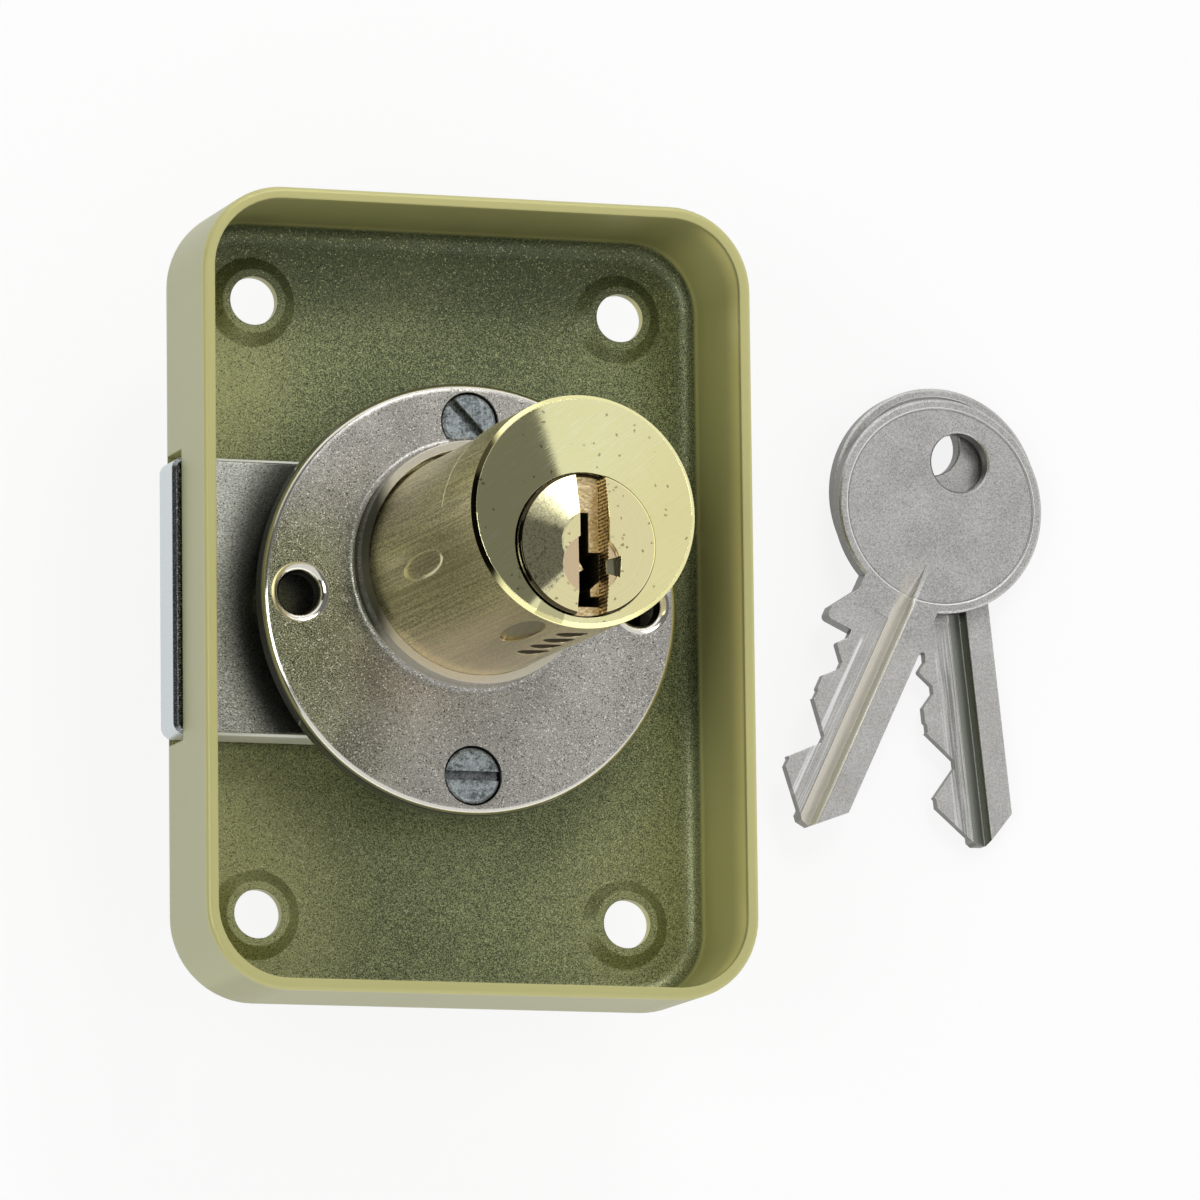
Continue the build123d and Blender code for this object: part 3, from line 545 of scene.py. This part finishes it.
def brass_side(f, around, height):
    """Drawn brass: long fine streaks, a few seams, olive and tan painted reflections along its side, and a
    painted highlight along the step behind the head.
    """
    streak = f.noise(0.16 * mm, stretch=(1, 1, 0.010))
    scratch = f.noise(0.18 * mm, detail=3.0, rough=0.7, stretch=(1, 1, 0.35))
    tone = f.blend(f.rise(streak * 0.35 + scratch * 0.65, 0.38, 0.62), *drawn_tones)
    tone = f.blend(f.band(around, *olive_reflection_ends, 14.0) * 0.45, tone, olive_reflection_brass)
    tone = f.blend(f.band(around, *tan_reflection_ends, 10.0) * 0.6, tone, tan_reflection_brass)
    for angle in seam_angles:
        seam = f.band(around, angle - seam_half, angle + seam_half, 0.3)
        tone = f.blend(seam * 0.55, tone, seam_brass)
    step_z = body_high.z - head_length
    step = f.band(height, step_z - 0.12 * mm, step_z + 0.22 * mm, 0.08 * mm) * f.band(around, *step_ends, 1.0)
    line = f.largest(step, oval_lines(f, around, height))
    return f.blend(line * 0.9, tone, painted_edge_highlight), streak, line


face_tones = (screen(234, 232, 174), screen(246, 244, 192))
face_scratch = screen(255, 255, 232)
face_reflection_tint = screen(230, 216, 150)
brass_pit = screen(104, 92, 50)
chamfer_highlight_and_shade = (screen(238, 232, 170), screen(58, 54, 34))
pocket_shade = screen(38, 28, 10)
low_oval_shade = screen(118, 112, 80)


def brass_face(f, rings, hatch):
    """Bright front of the cylinder: turned rings, crossing scratches, a painted reflection over its right
    sector mixed with a random cloud, and a few pits.
    """
    sector_sheen_and_cloud = f.band(f.bearing(), -75.0, 55.0, 35.0) * 0.7 + f.noise(4 * mm, detail=3.0) * 0.4
    tone = f.blend(rings, *face_tones)
    tone = f.blend(f.rise(hatch, 0.50, 0.62) * 0.32, tone, face_scratch)
    tone = f.blend(sector_sheen_and_cloud * 0.55, tone, face_reflection_tint)
    return f.blend(f.fall(f.cells(pit_size), 0.004, 0.012) * 0.55, tone, brass_pit)


def drawn_brass(name):
    """Lock cylinder: satin side with painted reflections and highlights, finely turned bright front, recesses
    painted dark as shade.
    """
    f = Finish(name, Metallic=1.0)
    height = f.part(f.place, "Z")
    reach = f.radius(0, body_rise)
    around = f.bearing(0, body_rise)
    front_z = body_high.z - 0.01 * mm
    front = f.rise(height, front_z - 0.03 * mm, front_z)
    rim = f.band(height, front_z - front_chamfer - 0.02 * mm, front_z, 0.03 * mm)
    chamfer_left_shade = f.fall(f.part(f.place, "X"), -9.5 * mm, -8.0 * mm)
    sunk = f.fall(reach, body_r - 0.12 * mm, body_r - 0.04 * mm)
    pocket_top = body_high.z - pocket_front
    pocket = sunk * f.band(around, *pocket_ends, 1.0) * f.fall(height, pocket_top - 0.5 * mm, pocket_top)
    low_oval = sunk * f.band(around, *low_oval_ends, 0.6)
    rings = f.lines(reach, 0.09 * mm)
    hatch = f.noise(0.14 * mm, detail=3.0, rough=0.7, stretch=(1, 0.05, 1), where=f.turned(hatch_angle))
    tone, streak, line = brass_side(f, around, height)
    # Painted highlight on the front chamfer, painted shade on its left part
    tone = f.blend(rim, tone, f.blend(chamfer_left_shade, *chamfer_highlight_and_shade))
    tone = f.blend(front, tone, brass_face(f, rings, hatch))
    # The pocket and the low oval are painted dark as shade
    tone = f.blend(pocket * 0.92, tone, pocket_shade)
    f.feed("Base Color", f.blend(low_oval * 0.5, tone, low_oval_shade))
    f.feed("Metallic", 1 - pocket * 0.7 - line * 0.8)
    matt = 0.28 + streak * 0.12 + pocket * 0.3 - rim * 0.20
    f.feed("Roughness", matt * (1 - front) + (0.015 + rings * 0.01 + hatch * 0.03) * front)
    dish = f.radius() * -face_slope
    f.relief(streak * (0.003 * mm) * (1 - front) + (rings * (0.0006 * mm) + dish) * front, edge=0.06 * mm)
    return f


plug_tones = (screen(226, 216, 160), screen(240, 232, 184))
plug_pit = screen(104, 90, 50)
plug_reflection_tones = (screen(216, 222, 200), screen(70, 80, 70))
entry_tone = screen(224, 200, 164)
slot_floor = (screen(196, 166, 112), screen(250, 234, 192))
slot_wall = (screen(70, 42, 10), screen(255, 232, 172))
notch_tone = screen(66, 68, 58)
skirt_shade = screen(36, 24, 8)
keyway_shade = screen(14, 11, 6)


def turned_brass(name):
    """Key plug: polished cone with a mottled painted reflection over its left sector, milled slot with
    chatter marks, keyway and side painted dark as shade.
    """
    f = Finish(name, Metallic=1.0)
    across = f.part(f.place, "X")
    along = f.part(f.place, "Y")
    height = f.part(f.place, "Z")
    reach = f.radius()
    around = f.bearing()
    floor = f.fall(height, key_stop_z + 0.04 * mm, key_stop_z + 0.20 * mm)
    inside = f.fall(height, key_stop_z - 0.30 * mm, key_stop_z - 0.04 * mm)
    wall = f.band(across, slot_right - 0.06 * mm, slot_right + 0.06 * mm, 0.03 * mm)
    wall_top = key_stop_z + slot_chatter_high
    wall = wall * f.fall(height, wall_top - 0.2 * mm, wall_top + 0.2 * mm)
    notch = f.band(across, slot_right + 0.1 * mm, notch_right + 0.1 * mm, 0.04 * mm)
    notch = notch * f.band(along, *notch_ends, 0.1 * mm)
    notch = notch * f.fall(height, notch_high - 0.05 * mm, notch_high + 0.1 * mm)
    skirt = f.rise(reach - across * skirt_lean, skirt_r, skirt_r + 0.03 * mm)
    entry = f.fall(f.radius(0, entry_y), entry_r - 0.06 * mm, entry_r + 0.02 * mm)
    entry = entry * f.rise(height, entry_low, entry_low + 0.1 * mm)
    cone = f.rise(reach, crown_r, crown_r + 0.2 * mm)
    rings = f.lines(reach, 0.14 * mm)
    chatter = f.noise(0.30 * mm, detail=3.0, rough=0.8, stretch=(1, 1, 0.5))
    speck = f.noise(0.26 * mm, rough=0.8, stretch=(0.6, 1, 1))
    mottle = f.rise(f.noise(0.22 * mm, detail=4.0, rough=0.85), 0.42, 0.60)
    # Painted reflection: a mottled dark sector on the left of the cone
    sector = f.band(around, reflection_sector_from, 180.0, 1.0) + f.fall(around, reflection_sector_to, reflection_sector_to + 2.0)
    stain = sector * cone * f.noise(0.9 * mm, detail=4.0, rough=0.8)
    row = (along + across * 0.4) * (2 * math.pi / chatter_pitch) + speck * 5
    milled = f.rise(f.maths("SINE", row) * 0.12 + chatter, 0.40, 0.62)
    tone = f.blend(rings, *plug_tones)
    tone = f.blend(f.fall(f.cells(pit_size), 0.010, 0.03) * 0.6, tone, plug_pit)
    tone = f.blend(stain * (0.5 + mottle * 0.5), tone, f.blend(mottle, *plug_reflection_tones))
    tone = f.blend(entry, tone, entry_tone)
    tone = f.blend(floor, tone, f.blend(f.rise(speck, 0.3, 0.7), *slot_floor))
    tone = f.blend(wall, tone, f.blend(milled, *slot_wall))
    tone = f.blend(notch * 0.85, tone, notch_tone)
    tone = f.blend(skirt * 0.95, tone, skirt_shade)
    f.feed("Base Color", f.blend(inside * 0.95, tone, keyway_shade))
    f.feed("Metallic", 1 - inside * 0.8 - notch * 0.4)
    satin = f.band(around, *satin_ends, 8.0) * cone
    f.feed("Roughness", 0.06 + rings * 0.04 + satin * 0.22 + floor * 0.25 + wall * 0.2 + entry * 0.12)
    marks = speck * floor * (0.05 * mm) + chatter * wall * (0.20 * mm)
    f.relief(rings * (0.0005 * mm) + marks, edge=0.10 * mm)
    return f


nickel_tones = (screen(158, 157, 154), screen(210, 208, 206))
nickel_pit = screen(96, 96, 92)
nickel_ground = screen(222, 220, 216)
ring_light = screen(250, 250, 248)
ring_shade = screen(110, 108, 104)
band_shade = screen(104, 104, 98)
groove_light = screen(232, 232, 228)
burr_light = screen(255, 255, 255)
upright_shade = screen(66, 66, 60)


def key_metal(name, key, flank, wall, band_dark):
    """Nickel silver key: matt bow, blade ground along its length, groove and edges with painted highlights
    and shade.
    """
    f = Finish(name, Metallic=1.0)
    place, turn = key
    own = f.turned(turn, place)
    height = key_bow_rise - f.part(own, "X")
    along = f.part(own, "Y") + key_bow_centre
    reach = f.vector("LENGTH", f.vector("MULTIPLY", own, (1, 1, 0)), out="Value")
    ground = f.noise(0.12 * mm, stretch=(1, 0.012, 1), where=own)
    streak = f.noise(0.16 * mm, detail=3.0, stretch=(1, 0.02, 1), where=own)
    grain = f.noise(0.13 * mm, rough=0.6)
    cloud = f.noise(4 * mm)
    blade = f.fall(along, blade_end, blade_end + 4 * mm)
    groove = f.fall(along, 4 * mm, 11 * mm)
    slope = f.band(height, slope_low, slope_high, 0.08 * mm) * groove
    steep = f.band(height, steep_low, slope_low, 0.04 * mm) * groove
    band = f.band(height, slope_high, band_high, 0.06 * mm) * blade
    burr = f.band(height, burr_low, burr_high, 0.08 * mm) * f.fall(along, -1.0 * mm, 0.4 * mm)
    line = f.band(height, slope_high - 0.06 * mm, slope_high + 0.14 * mm, 0.04 * mm) * groove
    ring = f.band(reach, key_ring_r - 0.05 * mm, key_ring_r + 0.09 * mm, 0.03 * mm)
    inner_ring = f.band(reach, key_ring_r - 0.22 * mm, key_ring_r - 0.08 * mm, 0.04 * mm)
    upright = f.fall(abs(f.outward("Z")), 0.10, 0.30)
    tone = f.blend(f.rise(grain * 0.8 + cloud * 0.2, 0.3, 0.7), *nickel_tones)
    tone = f.blend(f.fall(f.cells(fine_fleck), 0.03, 0.12) * 0.4, tone, nickel_pit)
    tone = f.blend(ground * blade * 0.4, tone, nickel_ground)
    tone = f.blend(ring * 0.8, tone, ring_light)
    tone = f.blend(inner_ring * 0.5, tone, ring_shade)
    tone = f.blend(slope * groove_strength, tone, f.blend(grain * 0.6 + ground * 0.4, *flank))
    tone = f.blend(steep * groove_strength, tone, wall)
    tone = f.blend(band * f.rise(streak, 0.42, 0.58) * band_dark, tone, band_shade)
    tone = f.blend(band * f.rise(ground, 0.52, 0.60) * 0.5, tone, groove_light)
    tone = f.blend(burr * f.rise(streak, 0.40, 0.50) * 0.8 * (1 - band_dark), tone, burr_light)
    tone = f.blend(line * band_dark, tone, groove_light)
    f.feed("Base Color", f.blend(upright * 0.75, tone, upright_shade))
    f.feed("Metallic", 1 - slope * 0.4 * groove_strength)
    f.feed("Roughness", 0.26 + grain * 0.12 + cloud * 0.06 - steep * 0.12)
    f.relief(grain * (0.005 * mm) + ground * blade * (0.006 * mm) + streak * band * (0.01 * mm))
    return f


def plain_metal(name, low, high, rough):
    """Small turned parts, between two tones given in screen values."""
    f = Finish(name, Metallic=1.0)
    grain = f.noise(0.30 * mm, detail=3.0)
    f.feed("Base Color", f.blend(grain, screen(*low), screen(*high)))
    f.feed("Roughness", rough + grain * 0.1)
    f.relief(grain * (0.003 * mm), edge=0.08 * mm)
    return f


# Groove tones per key: the front key's are painted lit, with a highlight on its steep wall, the rear key's
# painted in shade
front_flank_lit = (screen(178, 172, 156), screen(216, 211, 198))
front_wall_highlight = screen(255, 255, 250)
rear_flank_shaded = (screen(72, 76, 68), screen(126, 130, 118))
rear_wall_shade = screen(92, 96, 86)
drive_nodes = ("tail_bar", "drive_spindle", "drive_hub", "drive_pinion")

dress(fleck_paint("case_paint", case_high.z), "case")
dress(fleck_paint("knob_paint", case_high.z), "knob")
dress(plate_steel("plate_steel"), "cylinder_plate")
dress(bolt_steel("bolt_steel"), "bolt")
dress(plate_screw_steel("screw_steel"), "plate_screws")
post_steel = plain_metal("post_steel", (140, 140, 138), (186, 186, 184), 0.30)
dress(post_steel, "guide_posts", "spindle_bush", "knob_washer", *drive_nodes)
dress(plain_metal("knob_screw_steel", (150, 152, 152), (198, 200, 200), 0.24), "knob_screw")
dress(plain_metal("spring_steel", (120, 120, 120), (170, 170, 170), 0.28), "pin_springs", "plug_clip")
dress(plain_metal("pin_steel", (150, 150, 150), (200, 200, 200), 0.25), "driver_pins")
# The key pins are given a dark brass as painted shade inside the plug
dress(plain_metal("pin_brass", (60, 48, 24), (90, 74, 40), 0.35), "key_pins")
dress(drawn_brass("body_brass"), "cylinder_body", "chamber_caps")
dress(turned_brass("plug_brass"), "plug")
dress(key_metal("key_nickel_front", front_key, front_flank_lit, front_wall_highlight, 0.1), "key_front")
dress(key_metal("key_nickel_rear", rear_key, rear_flank_shaded, rear_wall_shade, 0.6), "key_rear")


def ground():
    """Plain pale floor: white to the eye and in reflections, and it keeps the shadow."""
    sheet = bmesh.new()
    bmesh.ops.create_grid(sheet, x_segments=1, y_segments=1, size=floor_reach)
    bmesh.ops.translate(sheet, verts=sheet.verts, vec=(0, 0, cad_low.z))
    mesh = bpy.data.meshes.new("ground")
    sheet.to_mesh(mesh)
    sheet.free()
    floor = bpy.data.objects.new("ground", mesh)
    bpy.context.scene.collection.objects.link(floor)
    f = Finish("pale_floor", Base_Color=screen(238, 238, 238), Roughness=0.9)
    straight = f.node("ShaderNodeLightPath", out="Is Camera Ray")
    glossy = f.node("ShaderNodeLightPath", out="Is Glossy Ray")
    glow = f.node("ShaderNodeEmission", None, {"Color": (1, 1, 1, 1), "Strength": 1.0})
    seen = f.largest(straight * floor_seen, glossy * floor_mirrored)
    f.show(f.node("ShaderNodeMixShader", None, {0: seen, 1: f.shader, 2: glow}))
    mesh.materials.append(f.material)


def soft_box(name, place, size, strength):
    """A square lamp that looks at the lock."""
    lamp = bpy.data.lights.new(name, "AREA")
    lamp.size = size
    lamp.energy = strength
    holder = bpy.data.objects.new(name, lamp)
    holder.location = place
    holder.rotation_mode = "QUATERNION"
    holder.rotation_quaternion = (aim - Vector(place)).to_track_quat("-Z", "Y")
    bpy.context.scene.collection.objects.link(holder)


def tent():
    """Pale even surroundings with dark patches."""
    world = bpy.data.worlds.new("studio")
    bpy.context.scene.world = world
    world.use_nodes = True
    w = Nodes(world.node_tree, "Generated")
    outward = w.vector("NORMALIZE", w.place)
    low = w.fall(w.part(outward, "Z"), tent_low_from, tent_low_to)
    level = low * (tent_low_level - tent_level) + tent_level
    for middle, reach, dark in (face_patch, side_patch):
        facing = w.vector("DOT_PRODUCT", outward, Vector(middle).normalized(), out="Value")
        near = math.cos(math.radians(reach + patch_soft))
        far = math.cos(math.radians(reach - patch_soft))
        inside = w.rise(facing, near, far)
        level = level * (1 - inside) + inside * dark
    light = w.node("ShaderNodeBackground", None, {"Color": (1, 1, 1, 1), "Strength": level})
    w.node("ShaderNodeOutputWorld", None, {"Surface": light})


def camera():
    """Camera at the photograph's angle."""
    flat = math.cos(camera_drop)
    back = Vector((math.sin(camera_turn) * flat, math.sin(camera_drop), math.cos(camera_turn) * flat))
    up = (Vector((0, 1, 0)) - back * back.y).normalized()
    right = up.cross(back)
    lean = Matrix((right, up, back)).transposed() @ Matrix.Rotation(camera_roll, 3, "Z")
    data = bpy.data.cameras.new("camera")
    data.lens = lens_mm
    data.sensor_width = sensor_mm
    data.clip_start = clip_near
    data.clip_end = clip_far
    holder = bpy.data.objects.new("camera", data)
    holder.matrix_world = Matrix.Translation(aim + back * camera_distance) @ lean.to_4x4()
    bpy.context.scene.collection.objects.link(holder)
    bpy.context.scene.camera = holder


ground()
tent()
soft_box("top_box", *top_box)
soft_box("left_box", *left_box)
camera()
bpy.context.scene.view_settings.view_transform = "Standard"
